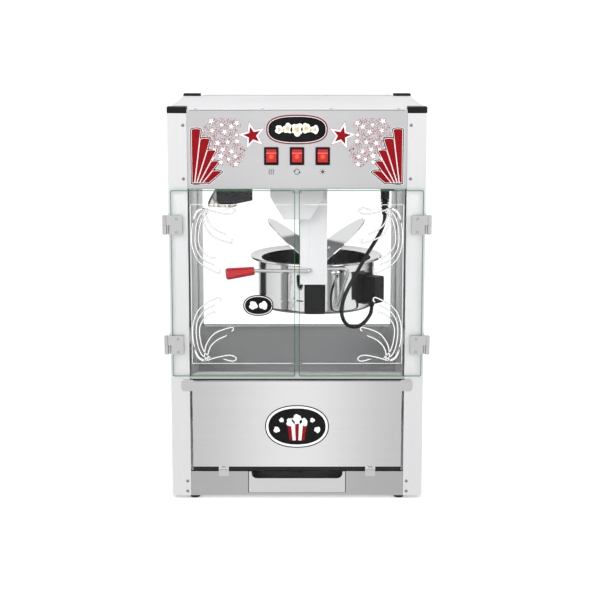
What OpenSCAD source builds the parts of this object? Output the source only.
// Countertop popcorn maker: steel and glass cabinet, tilting kettle, two glass doors,
// fold-down serving flap and old-maids drawer. Millimetres, +Z up, front towards -Y.
// The origin is on the floor under the middle of the cabinet.

/* [Cabinet] */
// Width over the corner posts
cab_w = 455; // [445:5:470]
// Depth over the corner posts
cab_d = 430; // [425:5:445]
// Height to the top of the corner caps
cab_h = 714; // [712:1:725]
// Height of the rubber feet
foot_h = 6; // [6:1:10]
// Thickness of the sheet steel
sheet_t = 1.2; // [1:0.1:1.3]
// Face width of a corner post
post_w = 34; // [33:0.5:35]
// Side width of a corner post
post_d = 30; // [28:1:32]

/* [Levels] */
// Underside of the perforated bin floor
bin_floor_z = 54; // [53:0.5:55]
// Top of the steel bin walls and of the front sill
sill_z = 236; // [234:1:240]
// Underside of the ceiling that carries lamp, kettle and motor
ceiling_z = 569.4; // [569:0.2:570]
// Top face of the lid
lid_z = 709.6; // [709:0.2:711]

/* [Doors] */
// Thickness of the glass
glass_t = 4; // [3.6:0.1:4.2]
// Gap between the two doors
door_gap = 7; // [5:1:9]
// Bottom edge of the doors
door_bottom = 231.5; // [228:0.5:233]
// Top edge of the doors
door_top = 568.2; // [564:0.2:568.8]
// Height of one door clip
clip_h = 34; // [32:1:36]

/* [Kettle] */
// Outer radius of the kettle body
kettle_r = 111.5; // [109:0.5:112]
// Outer radius of the kettle rim
rim_r = 126; // [124:0.5:126]
// Level of the kettle rim
rim_z = 418; // [416:1:419]
// Underside of the kettle
kettle_z = 322; // [320:1:324]
// Angle at which the two lids stand open
lid_rest = 39; // [0:1:55]

/* [Hidden] */
$fn = 48;

half_w = cab_w / 2;
half_d = cab_d / 2;
front_y = -half_d;
run_gap = 0.05;          // radial clearance of a running fit

// corner posts: one extrusion with two channels that hold 4 mm glass
post_wall = 2;
channel_w = 6;
rib_t = 1.6;
rib_len = 22;
post_z = foot_h;
open_half = half_w - post_w;            // half of the opening between the front posts
channel_mid = post_wall + channel_w / 2;
side_glass_x = half_w - channel_mid;
rear_glass_y = half_d - channel_mid;
pane_from_corner = post_wall + channel_w + rib_t + 0.4;
cap_h = 11;
post_top = cab_h - cap_h;
cap_over = 0.6;
cap_w = post_w + 0.4;
cap_d = post_d + 0.4;
fascia_top = lid_z - sheet_t;

// steel panels
panel_lip = 14;
panel_gap = 0.2;
rib_clear = 36;          // distance from a corner where a lip stops

// doors and their hinges
door_y = front_y - 3.5;                 // back face of the door glass
door_front = door_y - glass_t;
axis_x = half_w + 6.5;
axis_y = door_y - glass_t / 2;
knuckle_r = 3.85;
hinge_pin_r = 2;
door_outer = half_w - 4;
clip_front_t = 2.5;
clip_back_t = 1.8;
clip_reach = 203;
clip_notch = half_w - 2.9;
upper_hinge_z = 489.8;
lower_hinge_z = 272.5;
knuckle_split = 0.4;
leaf_t = 2.2;

// serving flap
flap_half = open_half - 4.3;
flap_bottom = 61.2;
flap_top = 221.4;
flap_y = front_y - 1.2;                 // back face of the flap sheet
flap_axis_y = front_y - 2.5;
flap_axis_z = 58;
flap_pin_r = 1.3;
flap_knuckle_r = 2.6;
flap_return = 8;
tab_x = 133.5;
tab_half = 9.3;
tab_bottom = 42.7;

// old-maids drawer
drawer_half = 88;
drawer_bottom = 11.4;
drawer_depth = 330;
drawer_wall = 1;

// rocker switches
switch_pitch = 45.2;
switch_z = 628;
bezel_w = 25.5;
bezel_h = 31.5;
rocker_y = front_y + 2;                 // line on which a rocker turns
rocker_rest = 7;                        // half of the rocker's travel, in degrees
rocker_pin_r = 1.2;

// kettle and what it turns on
kettle_x = 36.5;
pot_r = 106;
pot_t = 1.5;
pot_floor_z = 338;
pivot_x = 24;
pivot_z = 414;
rod_r = 3.25;
rod_bend = 6;
handle_y = -160;
grip_x = -77;                           // inner end of the grip
hanger_x = 30.2;
hanger_half = 24.6;
hanger_front_y = -153;
hanger_depth = 15;
hanger_bottom = 387.3;
bracket_y = 128;
bracket_t = 3;
lid_r = 113.5;
lid_axis_x = 11;                        // from the kettle's middle to a lid's hinge line
lid_axis_z = 424;
lid_pin_r = 1.5;
lid_knuckle_r = 3;
bar_half = 8.3;                         // half width of the crossbar between the knuckles
shaft_r = 4;
coupler_z = ceiling_z - 12;
blade_top = coupler_z + 6;
plug_turn = -37.6;                      // direction in which the kettle's plug points
plug_r = 131;                           // kettle axis to where the lead enters the plug

// lamp
lamp_x = -140;
lamp_y = -50;
lamp_r = 27.7;
lamp_rim_z = 518;

// kettle lead: gland, down in front of the kettle, round under it and up into the plug
lead_r = 3.5;
lead_sides = 10;
lead_gland_x = 166;
lead_gland_y = -30;
lead_gland_z = 500;
LEAD_ROUTE = [[166, -30, 500], [165, -33, 487], [159, -43, 472], [149, -60, 457],
    [138, -82, 444], [127, -101, 430], [117, -115, 415], [108, -125, 401], [100, -132, 388],
    [93, -138, 375], [87, -142, 362], [83, -144, 348], [82, -142, 334], [85, -136, 320],
    [92, -127, 308], [102, -116, 301], [113, -104, 299], [124, -94, 303], [132, -87, 310],
    [138, -82, 319], [140, -80, 327], [140, -80, 333]];

// ---------- shared shapes ----------

// box between two opposite corners
module block(low, high) translate(low) cube(high - low);

// the shape and its mirror image across the middle of the cabinet
module both_sides() {
    children();
    mirror([1, 0, 0]) children();
}

// the shape at all four corners
module four_corners() {
    both_sides() children();
    mirror([0, 1, 0]) both_sides() children();
}

// rod along Y from y0 to y1
module rod_y(x, z, r, y0, y1) translate([x, y0, z]) rotate([-90, 0, 0]) cylinder(r = r, h = y1 - y0);

// rod along X from x0 to x1
module rod_x(y, z, r, x0, x1) translate([x0, y, z]) rotate([0, 90, 0]) cylinder(r = r, h = x1 - x0);

// upright rod
module rod_z(x, y, r, z0, z1) translate([x, y, z0]) cylinder(r = r, h = z1 - z0);

// flat rectangle with round corners, from its middle
module round_rect(w, h, r) {
    square([w - 2 * r, h], center = true);
    square([w, h - 2 * r], center = true);
    for (sx = [-1, 1], sy = [-1, 1]) translate([sx * (w / 2 - r), sy * (h / 2 - r)]) circle(r = r);
}

// upright plate facing the front, its outline drawn in X and Z
module front_plate(y0, y1) translate([0, y1, 0]) rotate([90, 0, 0]) linear_extrude(y1 - y0) children();

// pan-head screw pointing along Y, head towards the viewer in front
module front_screw(x, z, y, r = 2.7) rod_y(x, z, r, y - 1.3, y);

// closed tube along a route: a ring of points at each stop, carried on without twisting
function unit(v) = v / norm(v);
function heading(route, i) = unit(route[min(i + 1, len(route) - 1)] - route[max(i - 1, 0)]);
function level(v, way) = unit(v - (v * way) * way);
function ring_sides(route, i, side) = i == len(route) ? [] :
    let (now = level(side, heading(route, i))) concat([now], ring_sides(route, i + 1, now));

module tube(route, r, n, start_side) {
    sides = ring_sides(route, 0, start_side);
    points = [for (i = [0 : len(route) - 1], k = [0 : n - 1])
        let (up = cross(heading(route, i), sides[i]), turn = 360 * k / n)
        route[i] + r * (cos(turn) * sides[i] + sin(turn) * up)];
    walls = [for (i = [0 : len(route) - 2], k = [0 : n - 1])
        [i * n + k, (i + 1) * n + k, (i + 1) * n + (k + 1) % n, i * n + (k + 1) % n]];
    ends = [[for (k = [0 : n - 1]) k], [for (k = [n - 1 : -1 : 0]) (len(route) - 1) * n + k]];
    polyhedron(points = points, faces = concat(walls, ends), convexity = 6);
}

// ---------- base ----------

module base_pan() color("silver") {
    wall_x = half_w - 11.5;
    wall_y = half_d - 11;
    difference() {
        block([-wall_x, -wall_y, foot_h], [wall_x, wall_y, bin_floor_z]);
        block([-wall_x + sheet_t, -wall_y - 1, foot_h + sheet_t],
              [wall_x - sheet_t, wall_y - sheet_t, bin_floor_z + 1]);
    }
    block([-open_half + 1, front_y + sheet_t, foot_h], [open_half - 1, -wall_y + 1, foot_h + sheet_t]);
}

module base_front_panel() color("gainsboro") {
    half = open_half - panel_gap;
    opening = drawer_half + 1.2;
    difference() {
        block([-half, front_y, foot_h], [half, front_y + sheet_t, 51.7]);
        block([-opening, front_y - 1, drawer_bottom - 0.5], [opening, front_y + 5, 60]);
    }
    for (side = [0, 1]) mirror([side, 0, 0])
        block([opening, front_y + sheet_t, 50.5], [half, front_y + 14, 51.7]);
}

module feet() color("#1a1a1a") four_corners() translate([187, half_d - 13, 0]) difference() {
    cylinder(r1 = 8.6, r2 = 9.7, h = foot_h);
    translate([0, 0, -1]) cylinder(r = 3, h = 3);
}

module bin_floor() color("silver") difference() {
    wall_x = half_w - 11.5;
    wall_y = half_d - 11;
    union() {
        block([-wall_x, -wall_y, bin_floor_z], [wall_x, wall_y, bin_floor_z + sheet_t]);
        block([-open_half + 1, front_y + 3, bin_floor_z],
              [open_half - 1, -wall_y + 1, bin_floor_z + sheet_t]);
    }
    for (ix = [-3 : 3], iy = [0 : 5])
        block([ix * 22 - 7, -150 + iy * 42, bin_floor_z - 1], [ix * 22 + 7, -144 + iy * 42, bin_floor_z + 3]);
}

module drawer_runners() color("gray") both_sides() {
    block([drawer_half - 4, -200, foot_h + sheet_t], [drawer_half + 6, 130, drawer_bottom]);
    block([drawer_half, -200, drawer_bottom], [drawer_half + 1.2, 130, 34]);
}

module old_maids_drawer() color("gainsboro") {
    inner = drawer_half - 2.4;
    back = front_y + drawer_depth;
    difference() {
        block([-inner, front_y - 0.2, drawer_bottom + 0.3], [inner, back, 36]);
        block([-inner + drawer_wall, front_y + 0.8, drawer_bottom + 0.3 + drawer_wall],
              [inner - drawer_wall, back - drawer_wall, 40]);
    }
    front_plate(front_y - 1.4, front_y - 0.2) difference() {
        translate([-drawer_half, drawer_bottom + 0.3]) square([2 * drawer_half, 40]);
        translate([0, 51.4]) round_rect(2 * drawer_half - 10, 25.4, 10);
        translate([-drawer_half + 5, 51.5]) square([2 * drawer_half - 10, 10]);
    }
    for (side = [-1, 1]) front_screw(side * (drawer_half - 3), drawer_bottom + 4, front_y - 1.4, 1.8);
}

// ---------- posts, caps and steel panels ----------

module post_profile() {
    square([post_w, post_wall]);
    square([post_wall, post_d]);
    translate([post_wall + channel_w, 1]) square([rib_t, rib_len]);
    translate([1, post_wall + channel_w]) square([rib_len, rib_t]);
}

module post(left, front) color("gainsboro")
    mirror([left ? 0 : 1, 0, 0]) mirror([0, front ? 0 : 1, 0])
        translate([-half_w, front_y, post_z]) linear_extrude(post_top - post_z) post_profile();

module front_left_post() post(true, true);
module front_right_post() post(false, true);
module rear_left_post() post(true, false);
module rear_right_post() post(false, false);

module corner_caps() color("#161616") four_corners()
    translate([half_w + cap_over - cap_w / 2, half_d + cap_over - cap_d / 2, post_top])
        linear_extrude(cap_h) round_rect(cap_w, cap_d, 3);

// side panel in the post channels, with a lip turned inwards at one edge
module side_panel(z0, z1, lip_z) {
    x1 = half_w - 3;
    block([x1 - sheet_t, -half_d + pane_from_corner, z0], [x1, half_d - pane_from_corner, z1]);
    block([x1 - panel_lip, -half_d + rib_clear, lip_z], [x1, half_d - rib_clear, lip_z + sheet_t]);
}

module lower_side_panels() color("gainsboro") both_sides()
    side_panel(foot_h + 0.5, sill_z, sill_z - sheet_t);

module header_side_panels() color("gainsboro") both_sides() {
    side_panel(ceiling_z - sheet_t, post_top, ceiling_z - sheet_t);
    block([half_w - 3 - sheet_t, -half_d + post_d + 1, post_top],
          [half_w - 3, half_d - post_d - 1, fascia_top]);
}

module rear_panel(z0, z1, lip_z) {
    y1 = half_d - 3;
    x1 = half_w - pane_from_corner;
    block([-x1, y1 - sheet_t, z0], [x1, y1, z1]);
    block([-half_w + rib_clear, y1 - panel_lip, lip_z], [half_w - rib_clear, y1, lip_z + sheet_t]);
}

module lower_rear_panel() color("gainsboro") rear_panel(foot_h + 0.5, sill_z, sill_z - sheet_t);

module header_rear_panel() color("gainsboro") difference() {
    union() {
        rear_panel(ceiling_z - sheet_t, post_top, ceiling_z - sheet_t);
        block([-open_half + 1, half_d - 3 - sheet_t, post_top], [open_half - 1, half_d - 3, fascia_top]);
    }
    rod_y(-150, 610, 8, half_d - 10, half_d + 10);
    for (ix = [-5 : 5]) block([60 + ix * 9, half_d - 10, 640], [64 + ix * 9, half_d, 675]);
}

module marquee_panel() color("lightgray") difference() {
    union() {
        half = open_half - panel_gap;
        z0 = ceiling_z + 1.2;
        block([-half, front_y, z0], [half, front_y + sheet_t, fascia_top]);
        block([-half, front_y, z0], [half, front_y + 14, z0 + sheet_t]);
        for (side = [0, 1]) mirror([side, 0, 0])
            block([half - sheet_t, front_y, z0], [half, front_y + post_wall + sheet_t, fascia_top]);
        for (side = [0, 1]) mirror([side, 0, 0])
            block([half - sheet_t, front_y + post_wall, z0],
                  [half + 10, front_y + post_wall + sheet_t, lid_z - 8]);
    }
    for (i = [-1 : 1])
        block([i * switch_pitch - 11.2, front_y - 1, switch_z - 14.2],
              [i * switch_pitch + 11.2, front_y + 5, switch_z + 14.2]);
}

module top_lid() color("whitesmoke") difference() {
    block([-half_w, -half_d, fascia_top], [half_w, half_d, lid_z]);
    four_corners() block([half_w - post_w - 0.6, half_d - post_d - 0.6, lid_z - 3],
                         [half_w + 1, half_d + 1, lid_z + 1]);
}

module ceiling_panel() color("silver") difference() {
    union() {
        inner_x = half_w - 11.5;
        block([-inner_x, -half_d + rib_clear, ceiling_z], [inner_x, half_d - rib_clear, ceiling_z + sheet_t]);
        block([-open_half + 2, front_y + 1.6, ceiling_z], [open_half - 2, half_d - 5, ceiling_z + sheet_t]);
    }
    rod_z(kettle_x, 0, 12, ceiling_z - 1, ceiling_z + 3);
    rod_z(lamp_x, lamp_y, 15, ceiling_z - 1, ceiling_z + 3);
    rod_z(lead_gland_x, lead_gland_y, 6, ceiling_z - 1, ceiling_z + 3);
}

module bin_front_sill() color("silver") {
    half = flap_half;
    front_plate(front_y, front_y + sheet_t) {
        translate([0, sill_z - 5.25]) round_rect(2 * half, 10.5, 5);
        translate([-half, sill_z - 10.5]) square([2 * half, 6]);
    }
    block([-half + 6, front_y + sheet_t, sill_z - sheet_t], [half - 6, front_y + 12, sill_z]);
    for (side = [0, 1]) mirror([side, 0, 0])
        block([half - 8, front_y + sheet_t, sill_z - 10.5],
              [half, front_y + post_wall + sheet_t, sill_z - 5]);
    for (side = [0, 1]) mirror([side, 0, 0])
        block([half - 8, front_y + post_wall, sill_z - 10.5],
              [half + 18, front_y + post_wall + sheet_t, sill_z - 5]);
}

// ---------- glass ----------

module side_pane(left) color("lightcyan", 0.35) {
    x = left ? -side_glass_x : side_glass_x;
    block([x - glass_t / 2, -half_d + pane_from_corner, sill_z],
          [x + glass_t / 2, half_d - pane_from_corner, ceiling_z - sheet_t]);
}

module left_side_glass() side_pane(true);
module right_side_glass() side_pane(false);

module rear_glass() color("lightcyan", 0.35)
    block([-half_w + pane_from_corner, rear_glass_y - glass_t / 2, sill_z],
          [half_w - pane_from_corner, rear_glass_y + glass_t / 2, ceiling_z - sheet_t]);

// rubber channel over an upright glass edge; the glass enters it along +Y from the origin
module gasket() translate([-channel_w / 2, -0.4, sill_z]) difference() {
    cube([channel_w, 10, ceiling_z - sheet_t - sill_z]);
    translate([(channel_w - glass_t) / 2, 0.4, -1]) cube([glass_t, 12, 400]);
}

module glass_gaskets() color("#222222") {
    four_corners() translate([side_glass_x, half_d - pane_from_corner, 0]) rotate([0, 0, 180]) gasket();
    both_sides() translate([half_w - pane_from_corner, rear_glass_y, 0]) rotate([0, 0, 90]) gasket();
}

// ---------- door hinges ----------

module hinge_leaf(z) {
    leaf_x = half_w + leaf_t;
    half_h = clip_h / 2 - knuckle_split;
    difference() {
        union() {
            block([half_w, front_y + 3, z], [leaf_x, front_y + 27, z + clip_h]);
            block([half_w + 0.2, axis_y + 1, z], [axis_x - 2, front_y + 5, z + half_h]);
            rod_z(axis_x, axis_y, knuckle_r, z, z + half_h);
        }
        rod_z(axis_x, axis_y, hinge_pin_r, z - 1, z + clip_h);
    }
    for (dz = [8, clip_h - 8]) rod_x(front_y + 16, z + dz, 3, leaf_x, leaf_x + 1.3);
}

module flap_leaf() {
    difference() {
        union() {
            block([-tab_half, front_y - 1.2, tab_bottom], [tab_half, front_y, 54.6]);
            block([-3.2, front_y - 1.2, tab_bottom], [3.2, front_y, flap_axis_z]);
            rod_x(flap_axis_y, flap_axis_z, flap_knuckle_r, -3.2, 3.2);
        }
        rod_x(flap_axis_y, flap_axis_z, flap_pin_r, -10, 10);
    }
}

module hinge_leaves() color("silver") {
    both_sides() {
        hinge_leaf(upper_hinge_z);
        hinge_leaf(lower_hinge_z);
    }
    for (side = [-1, 1]) translate([side * tab_x, 0, 0]) flap_leaf();
}

module hinge_pins() color("white") {
    both_sides() for (z = [upper_hinge_z, lower_hinge_z])
        rod_z(axis_x, axis_y, hinge_pin_r, z, z + clip_h - 2);
    for (side = [-1, 1]) rod_x(flap_axis_y, flap_axis_z, flap_pin_r, side * tab_x - 9, side * tab_x + 9);
}

// ---------- doors ----------

module door_glass() color("lightcyan", 0.35)
    block([door_gap / 2, door_front, door_bottom], [door_outer, door_y, door_top]);

// folded clip over the door's outer edge, with the upper knuckle and two clamping screws
module door_clip(z) {
    half_h = clip_h / 2;
    difference() {
        union() {
            block([clip_reach, door_front - clip_front_t, z], [clip_notch, door_y + clip_back_t, z + clip_h]);
            block([clip_notch - 1, door_front - clip_front_t, z + half_h],
                  [axis_x - 3, door_y + clip_back_t, z + clip_h]);
            rod_z(axis_x, axis_y, knuckle_r, z + half_h, z + clip_h);
        }
        block([clip_reach - 1, door_front, z - 1], [door_outer, door_y, z + clip_h + 1]);
        rod_z(axis_x, axis_y, hinge_pin_r + run_gap, z - 1, z + clip_h + 1);
    }
    for (dz = [5, clip_h - 5.5]) front_screw(213, z + dz, door_front - clip_front_t + 0.4, 2.8);
}

module door_clips() color("lightgray") {
    door_clip(upper_hinge_z);
    door_clip(lower_hinge_z);
}

module right_door_glass() door_glass();
module left_door_glass() mirror([1, 0, 0]) door_glass();
module right_door_clips() door_clips();
module left_door_clips() mirror([1, 0, 0]) door_clips();

module door_catch() color("dimgray") {
    block([-9, front_y + 1.6, 561.5], [9, front_y + 12, ceiling_z]);
    rod_y(0, 565, 1.7, door_y + 0.3, front_y + 2);
    for (side = [-1, 1]) rod_y(side * 6.2, 565, 1.5, door_y + 0.3, front_y + 2);
}

module catch_plate() color("darkgray") {
    plate_y = front_y + 45;
    front_plate(plate_y, plate_y + 1.5)
        polygon([[-48, ceiling_z], [-48, 550], [-23.8, 509.4], [23.8, 509.4], [48, 550], [48, ceiling_z]]);
    block([-48, plate_y - 14, ceiling_z - 1.5], [48, plate_y + 1.5, ceiling_z]);
}

// ---------- serving flap ----------

module serving_flap() color("lightgray") {
    sheet_y = flap_y - sheet_t;
    in_y = flap_y + flap_return;
    front_plate(sheet_y, flap_y) {
        translate([-flap_half, flap_bottom]) square([2 * flap_half, flap_top - flap_bottom]);
        for (side = [-1, 1]) translate([side * (flap_half + 7.5), 213.5]) round_rect(24, 21, 6);
    }
    difference() {
        block([-flap_half, flap_y, flap_bottom], [flap_half, in_y, flap_top]);
        block([-flap_half + sheet_t, flap_y - 1, flap_bottom + sheet_t],
              [flap_half - sheet_t, in_y + 1, flap_top - sheet_t]);
    }
    for (side = [-1, 1], part = [-1, 1]) translate([side * tab_x + part * 6.4, 0, 0]) difference() {
        union() {
            block([-2.9, sheet_y, flap_axis_z], [2.9, flap_y, flap_bottom + 1]);
            rod_x(flap_axis_y, flap_axis_z, flap_knuckle_r, -2.9, 2.9);
        }
        rod_x(flap_axis_y, flap_axis_z, flap_pin_r + run_gap, -4, 4);
    }
}

// ---------- fasteners ----------

module cabinet_screws() color("dimgray") {
    both_sides() for (z = [14.2, 33.3, 588, 682]) {
        front_screw(half_w - 27.5, z, front_y);
        mirror([0, 1, 0]) front_screw(half_w - 27.5, z, front_y);
    }
    four_corners() for (x = [60, 178]) rod_z(x, half_d - 8, 2.8, lid_z, lid_z + 1.2);
}

// ---------- switches ----------

// outer case of one rocker switch, centred on the line it turns on
module switch_housing() difference() {
    union() {
        front_plate(-4, -2) round_rect(bezel_w, bezel_h, 1.5);
        block([-11, -2, -14], [11, 26, 14]);
        for (x = [-5, 5]) block([x - 0.4, 26, -3.2], [x + 0.4, 34, 3.2]);
    }
    block([-9.3, -5, -12.6], [9.3, 14, 12.6]);
    rod_x(0, 0, rocker_pin_r + run_gap, -10.4, 10.4);
}

module switch_housings() color("#151515")
    for (i = [-1 : 1]) translate([i * switch_pitch, rocker_y, switch_z]) switch_housing();

// rocker with a shallow V face, resting with its upper half pressed in
module rocker(i) color("red") translate([i * switch_pitch, rocker_y, switch_z]) rotate([-rocker_rest, 0, 0]) {
    rotate([90, 0, 90]) translate([0, 0, -8.8]) linear_extrude(17.6)
        polygon([[-7.2, 11.4], [-4.6, 0], [-7.2, -11.4], [0, -11.2], [4.5, -5], [4.5, 5], [0, 11.2]]);
    rod_x(0, 0, rocker_pin_r, -10.2, 10.2);
}

module heat_rocker() rocker(-1);
module motor_rocker() rocker(0);
module light_rocker() rocker(1);

// ---------- lamp ----------

module lamp_shield() color("#202020") {
    y0 = front_y + 120;
    difference() {
        union() {
            block([-148.7, y0, 529], [-107.5, y0 + sheet_t, ceiling_z]);
            translate([-107.5, y0, 529]) rotate([0, 0, 61]) cube([50, sheet_t, ceiling_z - 529]);
            block([-140, y0, ceiling_z - sheet_t], [-112, y0 + 12, ceiling_z]);
        }
        front_plate(y0 - 1, y0 + 5) polygon([[-150, 528], [-145, 528], [-150, 536]]);
    }
}

module lamp_socket() color("#303030") rod_z(lamp_x, lamp_y, 17, 551, ceiling_z);

module lamp_bulb() color("antiquewhite") translate([lamp_x, lamp_y, lamp_rim_z]) rotate_extrude()
    polygon([[0, -6], [9, -5.4], [18, -3.7], [25, -1.2], [lamp_r, 1.2], [lamp_r, 3.5], [26.4, 9],
             [23.6, 16], [19.6, 23], [15.5, 29], [13.2, 33], [0, 33]]);

// ---------- drive ----------

module gear_motor() color("gray") {
    difference() {
        block([kettle_x - 38, -32, ceiling_z + 6], [kettle_x + 38, 32, ceiling_z + 42]);
        rod_z(kettle_x, 0, shaft_r + run_gap, ceiling_z, ceiling_z + 30);
    }
    rod_z(kettle_x, 0, 29, ceiling_z + 42, ceiling_z + 108);
    rod_z(kettle_x, 0, 6, ceiling_z + 108, ceiling_z + 112);
    for (sx = [-1, 1], sy = [-1, 1])
        rod_z(kettle_x + sx * 30, sy * 25, 4, ceiling_z + sheet_t, ceiling_z + 6);
}

module drive_coupler() color("silver") {
    difference() {
        rod_z(kettle_x, 0, 9, coupler_z, ceiling_z + 5.5);
        block([kettle_x - 12, -1.9, coupler_z - 1], [kettle_x + 12, 1.9, coupler_z + 11]);
    }
    rod_z(kettle_x, 0, shaft_r, ceiling_z + 5, ceiling_z + 20);
}

module agitator() color("silver") {
    rod_z(kettle_x, 0, shaft_r, pot_floor_z + 1, blade_top - 14);
    block([kettle_x - 6, -1.5, blade_top - 16], [kettle_x + 6, 1.5, blade_top]);
    rod_x(0, pot_floor_z + 10, 2.5, kettle_x - 92, kettle_x + 92);
    for (side = [-1, 1]) {
        rod_z(kettle_x + side * 92, 0, 2.5, pot_floor_z + 3, pot_floor_z + 26);
        rod_z(kettle_x + side * 50, 0, 2.5, pot_floor_z + 3, pot_floor_z + 10);
        rod_z(kettle_x + side * 72, 0, 2.5, pot_floor_z + 3, pot_floor_z + 10);
    }
    rod_y(kettle_x, pot_floor_z + 34, 2.5, -52, 52);
}

// ---------- kettle hangers ----------

// folded steel column with its open side towards +Y; the pivot collar is at z = pivot_z
module hanger_column(bottom) {
    y0 = hanger_front_y;
    y1 = hanger_front_y + hanger_depth;
    left = hanger_x - hanger_half;
    right = hanger_x + hanger_half;
    difference() {
        union() {
            block([left, y0, bottom], [right, y0 + sheet_t, ceiling_z]);
            block([left, y0, bottom], [left + sheet_t, y1, ceiling_z]);
            block([right - sheet_t, y0, bottom], [right, y1, ceiling_z]);
            block([left, y0, ceiling_z - sheet_t], [right, y1 + 12, ceiling_z]);
            rod_y(pivot_x, pivot_z, 7, y0, y0 + 11);
        }
        rod_y(pivot_x, pivot_z, rod_r + run_gap, y0 - 2, y1 + 2);
    }
}

module front_hanger() color("whitesmoke") difference() {
    hanger_column(hanger_bottom);
    block([21, hanger_front_y - 1, 431.5], [22.6, hanger_front_y + 0.5, 508]);
}

module rear_hanger() color("whitesmoke") mirror([0, 1, 0]) hanger_column(393);

module hanger_foot() color("#101010") {
    half = 19.2;
    front_plate(hanger_front_y + sheet_t, hanger_front_y + 13.5) {
        translate([hanger_x + 2.4, 359]) round_rect(2 * half, 54.6, 5);
        translate([hanger_x + 2.4 - half, 360]) square([2 * half, 38]);
    }
    block([hanger_x - hanger_half + sheet_t, hanger_front_y + sheet_t, hanger_bottom + 3],
          [hanger_x + hanger_half - sheet_t, hanger_front_y + 10, 400]);
}

// ---------- kettle ----------

module kettle_shell() color("silver") translate([kettle_x, 0, 0]) rotate_extrude() polygon([
    [0, kettle_z], [kettle_r - 8, kettle_z], [kettle_r - 4, kettle_z + 1.1], [kettle_r - 1.1, kettle_z + 4],
    [kettle_r, kettle_z + 8], [kettle_r, rim_z - 6], [kettle_r - 1.2, rim_z - 6],
    [kettle_r - 1.2, kettle_z + 8], [kettle_r - 5, kettle_z + 2.3], [kettle_r - 8, kettle_z + 1.2],
    [0, kettle_z + 1.2]]);

module kettle_pot() color("gainsboro") translate([kettle_x, 0, 0]) {
    inner = pot_r - pot_t;
    rotate_extrude() polygon([
        [0, pot_floor_z - 2], [pot_r - 6, pot_floor_z - 2], [pot_r, pot_floor_z + 4], [pot_r, rim_z - 6],
        [kettle_r + 1, rim_z - 6], [rim_r - 2, rim_z - 2], [rim_r, rim_z - 1.4], [rim_r, rim_z + 0.4],
        [rim_r - 2, rim_z + 1], [rim_r - 4, rim_z], [kettle_r, rim_z - 4.4], [inner, rim_z - 4.4],
        [inner, pot_floor_z + 5], [inner - 5, pot_floor_z], [0, pot_floor_z]]);
    difference() {
        translate([0, 0, pot_floor_z]) cylinder(r = 8, h = 5);
        translate([0, 0, pot_floor_z + 0.6]) cylinder(r = shaft_r + run_gap, h = 8);
    }
}

module heating_element() color("dimgray") {
    rod_z(kettle_x, 0, 95, pot_floor_z - 8, pot_floor_z - 2);
    rod_z(kettle_x + 40, 20, 12, kettle_z + 1.2, pot_floor_z - 8);
}

module kettle_crossbar() color("silver") difference() {
    union() {
        block([kettle_x - bar_half, -rim_r + 2, rim_z + 1.2], [kettle_x + bar_half, rim_r - 2, rim_z + 4]);
        for (side = [-1, 1])
            block([kettle_x - 6, side * 109.5 - 2, rim_z - 4.4],
                  [kettle_x + 6, side * 109.5 + 2, rim_z + 1.2]);
        rod_z(kettle_x, 0, 9, rim_z - 3, rim_z + 6);
        for (side = [-1, 1], y = [-95, -33, 29, 91]) {
            block([kettle_x + side * 8 - 2, y, rim_z + 3], [kettle_x + side * 8 + 2, y + 4, rim_z + 6]);
            rod_y(kettle_x + side * lid_axis_x, lid_axis_z, lid_knuckle_r, y, y + 4);
        }
        for (side = [-1, 1], y = [-95, 29])
            rod_y(kettle_x + side * lid_axis_x, lid_axis_z, lid_pin_r, y, y + 66);
    }
    rod_z(kettle_x, 0, shaft_r + run_gap, rim_z - 5, rim_z + 10);
}

// one half lid, drawn shut: half disc, edge bead and the two curled hinge knuckles
module lid_shut() {
    z0 = rim_z + 2.2;
    axis_x = kettle_x + lid_axis_x;
    difference() {
        union() {
            intersection() {
                rod_z(kettle_x, 0, lid_r, z0, z0 + 1.4);
                block([axis_x + 2, -150, 0], [kettle_x + 150, 150, 500]);
            }
            for (y = [-90.6, 33.4]) {
                rod_y(axis_x, lid_axis_z, lid_knuckle_r, y, y + 57.2);
                block([axis_x, y, z0], [axis_x + 6, y + 57.2, z0 + 1.4]);
            }
        }
        rod_y(axis_x, lid_axis_z, lid_pin_r + run_gap, -150, 150);
        block([axis_x - 4, -18, 400], [axis_x + 18, 18, 440]);
    }
}

module right_kettle_lid() color("silver") translate([kettle_x + lid_axis_x, 0, lid_axis_z])
    rotate([0, -lid_rest, 0]) translate([-kettle_x - lid_axis_x, 0, -lid_axis_z]) lid_shut();

module left_kettle_lid() translate([2 * kettle_x, 0, 0]) mirror([1, 0, 0]) right_kettle_lid();

// plates on the kettle's front and back that carry it on the pivot
module kettle_brackets() color("gray") {
    difference() {
        for (side = [0, 1]) mirror([0, side, 0]) {
            front_plate(-bracket_y - bracket_t, -bracket_y)
                translate([kettle_x - 6, 382]) round_rect(34, 84, 8);
            for (x = [16, 40]) block([x, -bracket_y, 348], [x + 6, -100, 402]);
        }
        rod_z(kettle_x, 0, kettle_r, 300, 500);
    }
    rod_y(pivot_x, pivot_z, rod_r, bracket_y, 149);
}

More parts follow.
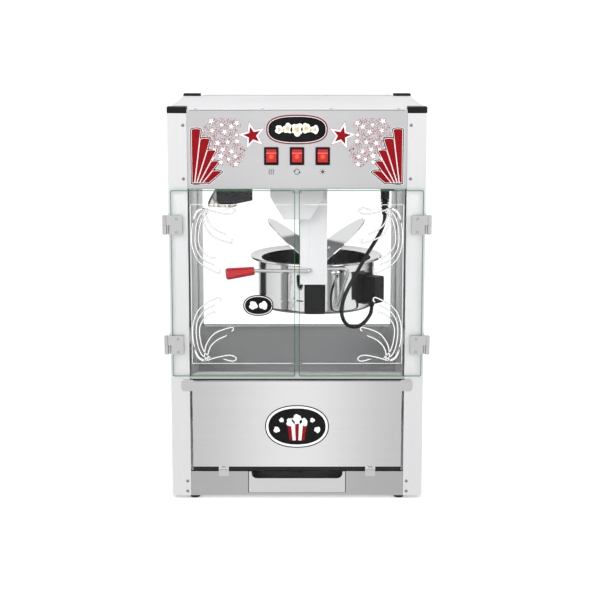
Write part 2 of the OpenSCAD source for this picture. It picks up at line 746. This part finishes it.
// the bar comes from the grip, turns back through the pivot collar, turns right behind the
// column and drops to a bolt on the kettle's side
handle_front = concat([[grip_x - 15, handle_y, pivot_z]],
    [for (a = [0 : 18 : 90])
        [pivot_x - rod_bend * (1 - sin(a)), handle_y + rod_bend * (1 - cos(a)), pivot_z]],
    [[pivot_x, handle_y + 10, pivot_z]]);
handle_back_y = -134.6;
drop_slope = 19;                        // lean of the drop towards the kettle, in degrees
drop_x = 84;
handle_back = concat([[pivot_x, handle_back_y - 12, pivot_z]],
    [for (a = [0 : 18 : 90])
        [pivot_x + rod_bend * (1 - cos(a)), handle_back_y - rod_bend * (1 - sin(a)), pivot_z]],
    [for (a = [0 : 15 : 105])
        [drop_x + 9 * sin(a), handle_back_y + 9 * sin(drop_slope) * (1 - cos(a)),
         pivot_z - 9 * cos(drop_slope) * (1 - cos(a))]],
    [[75.6, -110.2, 343]]);

module handle_rod() color("silver") {
    tube(handle_front, rod_r - 0.05, 12, [0, 0, 1]);
    tube(handle_back, rod_r - 0.05, 12, [0, 0, 1]);
    rod_y(pivot_x, pivot_z, rod_r, handle_y + 4, handle_back_y - 5);
    rod_y(pivot_x + 10, pivot_z, 5.5, handle_back_y, -bracket_y - bracket_t);
    translate([kettle_x, 0, 343]) rotate([0, 90, -70]) {
        translate([0, 0, kettle_r]) cylinder(r = 9, h = 3.5);
        translate([0, 0, kettle_r]) cylinder(r = 4.2, h = 7);
    }
}

module handle_grip() color("crimson") difference() {
    translate([grip_x, handle_y, pivot_z + 0.2]) rotate([0, -97, 0]) rotate_extrude()
        polygon([[0, 0], [6.6, 0], [7.8, 1.2], [9, 22], [10.6, 47], [10.2, 50.5], [8.6, 52.3], [0, 52.8]]);
    rod_x(handle_y, pivot_z, rod_r, grip_x - 15, grip_x + 5);
}

// black terminal box on the kettle's side and the plug that pushes into it
module at_plug() translate([kettle_x, 0, 366]) rotate([0, 0, plug_turn]) children();

module kettle_socket() color("#141414") difference() {
    at_plug() translate([kettle_r - 4, 0, 0]) rotate([0, 90, 0]) linear_extrude(14) round_rect(58, 37, 10);
    rod_z(kettle_x, 0, kettle_r, 300, 420);
}

module kettle_plug() color("#101010") at_plug() {
    translate([kettle_r + 10, 0, 0]) rotate([0, 90, 0]) linear_extrude(27) round_rect(50, 30, 5);
    translate([plug_r, 0, -33]) cylinder(r1 = 4.6, r2 = 6.5, h = 10);
}

// ---------- kettle lead and glands ----------

module lead_gland() color("#151515") {
    x = lead_gland_x;
    y = lead_gland_y;
    block([x - 8.5, y - 9, 545], [x + 17, y + 9, ceiling_z]);
    rod_z(x, y, 8.3, 528, 546);
    for (i = [0 : 3]) rod_z(x, y, 8.1 - 0.5 * i, 523.5 - 6 * i, 526.5 - 6 * i);
    rod_z(x, y, 5.4, lead_gland_z, 530);
}

module mains_gland() color("#151515") difference() {
    union() {
        rod_y(-150, 610, 8, half_d - 16, half_d);
        rod_y(-150, 610, 11.5, half_d - 3, half_d + 5);
        rod_y(-150, 610, 8.5, half_d + 5, -door_front + clip_front_t + 0.9);
        rod_y(-150, 610, 11, half_d - 9.2, half_d - 4.2);
    }
    rod_y(-150, 610, 4, half_d - 20, half_d + 20);
}

module kettle_lead() color("#151515") tube(LEAD_ROUTE, lead_r, lead_sides, [1, -1, 0]);

base_pan();
base_front_panel();
feet();
front_left_post();
front_right_post();
rear_left_post();
rear_right_post();
corner_caps();
lower_side_panels();
lower_rear_panel();
left_side_glass();
right_side_glass();
rear_glass();
glass_gaskets();
marquee_panel();
header_side_panels();
header_rear_panel();
top_lid();
ceiling_panel();
bin_floor();
bin_front_sill();
cabinet_screws();
hinge_leaves();
hinge_pins();
catch_plate();
door_catch();
lamp_shield();
lamp_socket();
lamp_bulb();
gear_motor();
front_hanger();
hanger_foot();
rear_hanger();
lead_gland();
kettle_lead();
switch_housings();
mains_gland();
drawer_runners();
heat_rocker();
motor_rocker();
light_rocker();
left_door_glass();
left_door_clips();
right_door_glass();
right_door_clips();
serving_flap();
old_maids_drawer();
kettle_shell();
kettle_pot();
kettle_crossbar();
heating_element();
kettle_brackets();
handle_rod();
handle_grip();
kettle_socket();
kettle_plug();
left_kettle_lid();
right_kettle_lid();
agitator();
drive_coupler();
